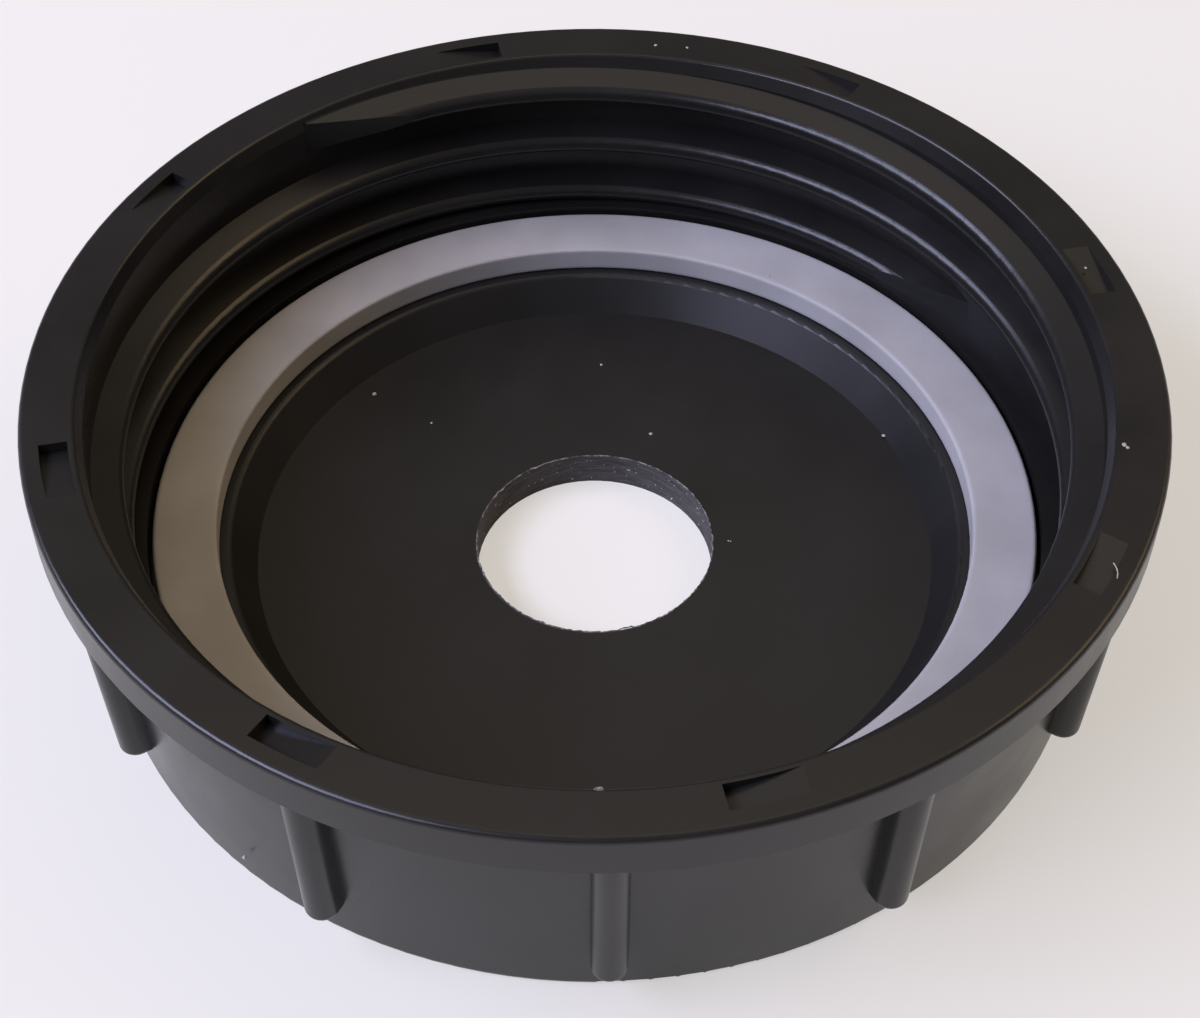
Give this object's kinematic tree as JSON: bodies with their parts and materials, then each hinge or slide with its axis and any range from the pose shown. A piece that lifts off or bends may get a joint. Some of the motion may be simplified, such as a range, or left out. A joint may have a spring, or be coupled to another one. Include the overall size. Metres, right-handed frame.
{
  "type": "bored screw cap",
  "caption": "Wide moulded screw cap with a right-hand internal thread, a bore through its closed end, a flat ring seal, grip ribs and ratchet recesses in its rim.",
  "frame": {"origin": "centre of the closed face, in the plane the cap lies on", "axes": "+Z along the cap's axis, out of its open threaded end; +X through one grip rib"},
  "size_m": [0.0944, 0.0944, 0.0252],
  "materials": {
    "cap_plastic": "black moulded polypropylene with a low sheen",
    "seal_rubber": "flat grey silicone rubber"
  },
  "bodies": {
    "root": {"cap_body": "cap_plastic", "seal_ring": "seal_rubber"}
  },
  "joints": []
}
